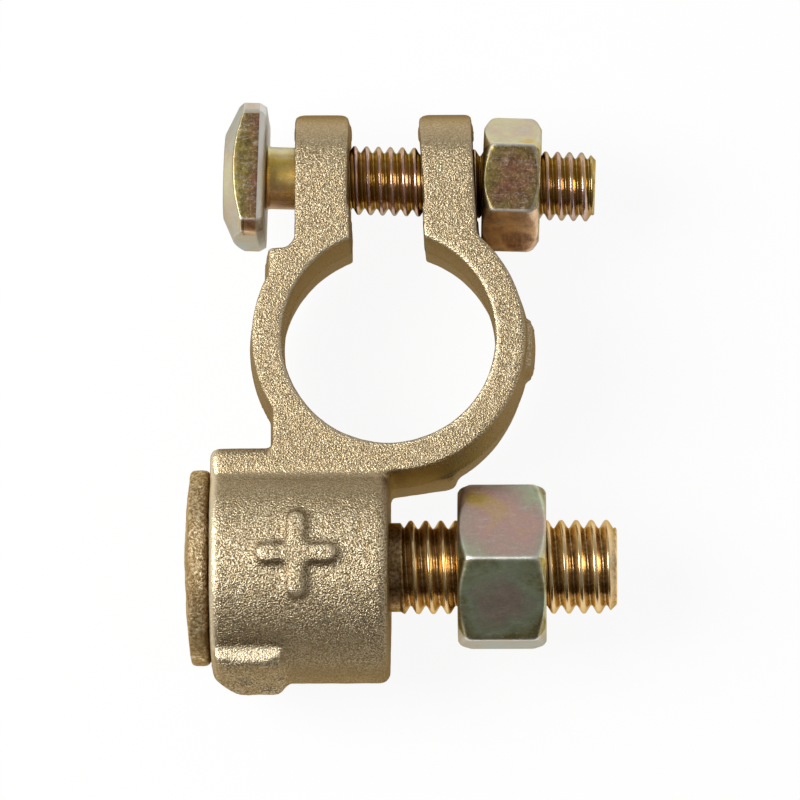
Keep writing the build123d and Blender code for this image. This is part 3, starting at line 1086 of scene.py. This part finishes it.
def soft_light(name, at, size, power):
    """A rectangular lamp that faces the object."""
    lamp = bpy.data.lights.new(name, "AREA")
    lamp.shape = "RECTANGLE"
    lamp.size, lamp.size_y = size
    lamp.energy = power
    obj = bpy.data.objects.new(name, lamp)
    obj.location = at
    obj.rotation_euler = (Vector(AIM) - Vector(at)).to_track_quat("-Z", "Y").to_euler()
    bpy.context.scene.collection.objects.link(obj)


def floor_material(settings):
    """A matt floor that the camera and the metal's reflections see as nearly white."""
    n = Nodes("floor")
    n.finish(Base_Color=rgba(settings.floor), Roughness=0.8)
    glow = n.add("ShaderNodeEmission")
    glow.inputs["Color"].default_value = (1, 1, 1, 1)
    path = n.add("ShaderNodeLightPath")
    seen = n.math("ADD", path.outputs["Is Camera Ray"], path.outputs["Is Glossy Ray"])
    seen = n.math("ADD", seen, path.outputs["Is Transmission Ray"], True)
    seen = n.math("MULTIPLY", seen, FLOOR_GLOW)
    both = n.add("ShaderNodeMixShader")
    n.feed(both.inputs[0], seen)
    n.feed(both.inputs[1], n.shader.outputs[0])
    n.feed(both.inputs[2], glow.outputs[0])
    n.feed(n.tree.nodes["Material Output"].inputs["Surface"], both.outputs[0])
    return n.material


class CLAMP_OT_stage(bpy.types.Operator):
    """Set the floor, the soft lights and the camera"""

    bl_idname = "terminal_clamp.stage"
    bl_label = "Stage"

    def dark_card(self):
        """A dark card in front, which only the metal's reflections see."""
        width, height = CARD_SIZE
        bottom = CAD_LOW.z - CARD_GAP
        mesh = bpy.data.meshes.new("dark_card")
        corners = [(-width / 2, CARD_Y, bottom), (width / 2, CARD_Y, bottom),
                   (width / 2, CARD_Y, bottom + height), (-width / 2, CARD_Y, bottom + height)]
        mesh.from_pydata(corners, [], [(0, 1, 2, 3)])
        felt = Nodes("felt")
        mesh.materials.append(felt.finish(Base_Color=rgba(FELT), Roughness=0.9))
        card = link("dark_card", mesh)
        card.visible_camera = False
        card.visible_shadow = False

    def execute(self, context):
        settings = context.scene.clamp_stage
        bpy.ops.mesh.primitive_plane_add(size=FLOOR_SIZE, location=(0, 0, CAD_LOW.z - FLOOR_GAP))
        floor = context.object
        floor.name = "floor"
        floor.data.materials.append(floor_material(settings))

        soft_light("key_left", KEY_AT, KEY_SIZE, settings.key)
        soft_light("right", SIDE_AT, SIDE_SIZE, settings.rim)
        soft_light("back", BACK_AT, BACK_SIZE, 0.25 * settings.rim)
        self.dark_card()
        context.scene.world = studio_world()
        context.scene.camera = camera()
        context.scene.view_settings.view_transform = "Standard"
        return {"FINISHED"}


def studio_world():
    """Surroundings that are dim on the -Y side and brighter behind, and white to the camera."""
    world = bpy.data.worlds.new("studio")
    world.use_nodes = True
    tree = world.node_tree
    back = tree.nodes["Background"]
    place = tree.nodes.new("ShaderNodeTexCoord")
    split = tree.nodes.new("ShaderNodeSeparateXYZ")
    level = tree.nodes.new("ShaderNodeMapRange")
    level.inputs["From Min"].default_value = -1.0
    level.inputs["To Min"].default_value = SKY_FRONT
    level.inputs["To Max"].default_value = SKY_BACK
    tree.links.new(place.outputs["Generated"], split.inputs[0])
    tree.links.new(split.outputs["Y"], level.inputs["Value"])
    tree.links.new(level.outputs[0], back.inputs["Color"])
    path = tree.nodes.new("ShaderNodeLightPath")
    white = tree.nodes.new("ShaderNodeBackground")
    white.inputs["Color"].default_value = (1, 1, 1, 1)
    both = tree.nodes.new("ShaderNodeMixShader")
    tree.links.new(path.outputs["Is Camera Ray"], both.inputs[0])
    tree.links.new(back.outputs[0], both.inputs[1])
    tree.links.new(white.outputs[0], both.inputs[2])
    tree.links.new(both.outputs[0], tree.nodes["World Output"].inputs["Surface"])
    return world


def camera():
    """The long lens that looks down on the object."""
    lens = bpy.data.cameras.new("camera")
    lens.sensor_width = CAMERA_SENSOR
    lens.lens = CAMERA_LENS
    lens.clip_start = 0.05
    lens.clip_end = 20.0
    obj = bpy.data.objects.new("camera", lens)
    obj.matrix_world = camera_place(CAMERA_ELEVATION, CAMERA_AZIMUTH, CAMERA_ROLL, CAMERA_DISTANCE,
                                    CAMERA_AIM)
    bpy.context.scene.collection.objects.link(obj)
    return obj


def camera_place(elevation, azimuth, roll, distance_mm, aim_mm):
    """A camera above the object, leaning towards its -Y side."""
    e, a, r = (math.radians(v) for v in (elevation, azimuth, roll))
    back = Vector((math.sin(a), -math.cos(a) * math.cos(e), math.cos(a) * math.sin(e)))
    right = Vector((0, math.sin(e), math.cos(e))).cross(back).normalized()
    up = back.cross(right)
    right, up = (math.cos(r) * right + math.sin(r) * up, math.cos(r) * up - math.sin(r) * right)
    place = Matrix((right, up, back)).transposed().to_4x4()
    place.translation = (Vector(aim_mm) + back * distance_mm) * MM
    return place


# ---------------------------------------------------------------- panel and registration


class CLAMP_PT_panel(bpy.types.Panel):
    """The clamp's pieces and their settings"""

    bl_label = "Terminal Clamp"
    bl_idname = "CLAMP_PT_panel"
    bl_space_type = "VIEW_3D"
    bl_region_type = "UI"
    bl_category = "Terminal Clamp"

    def draw(self, context):
        layout = self.layout
        for group in ("clamp_casting", "clamp_thread", "clamp_finish", "clamp_stage"):
            settings = getattr(context.scene, group)
            box = layout.box()
            for name in settings.bl_rna.properties.keys():
                if name not in {"rna_type", "name"}:
                    box.prop(settings, name)
        for operator in OPERATORS:
            layout.operator(operator.bl_idname)


GROUPS = {
    "clamp_casting": CastingSettings,
    "clamp_thread": ThreadSettings,
    "clamp_finish": FinishSettings,
    "clamp_stage": StageSettings,
}
OPERATORS = (CLAMP_OT_casting, CLAMP_OT_stud, CLAMP_OT_cable_nut, CLAMP_OT_pinch_bolt,
             CLAMP_OT_pinch_nut, CLAMP_OT_stage)


def register():
    for cls in (*GROUPS.values(), *OPERATORS, CLAMP_PT_panel):
        bpy.utils.register_class(cls)
    for name, cls in GROUPS.items():
        setattr(bpy.types.Scene, name, PointerProperty(type=cls))


def unregister():
    for name in GROUPS:
        delattr(bpy.types.Scene, name)
    for cls in (CLAMP_PT_panel, *reversed(OPERATORS), *reversed(GROUPS.values())):
        bpy.utils.unregister_class(cls)


def main():
    register()
    bpy.ops.terminal_clamp.casting()
    bpy.ops.terminal_clamp.stud()
    bpy.ops.terminal_clamp.cable_nut()
    bpy.ops.terminal_clamp.pinch_bolt()
    bpy.ops.terminal_clamp.pinch_nut()
    bpy.ops.terminal_clamp.stage()


if __name__ == "__main__":
    main()
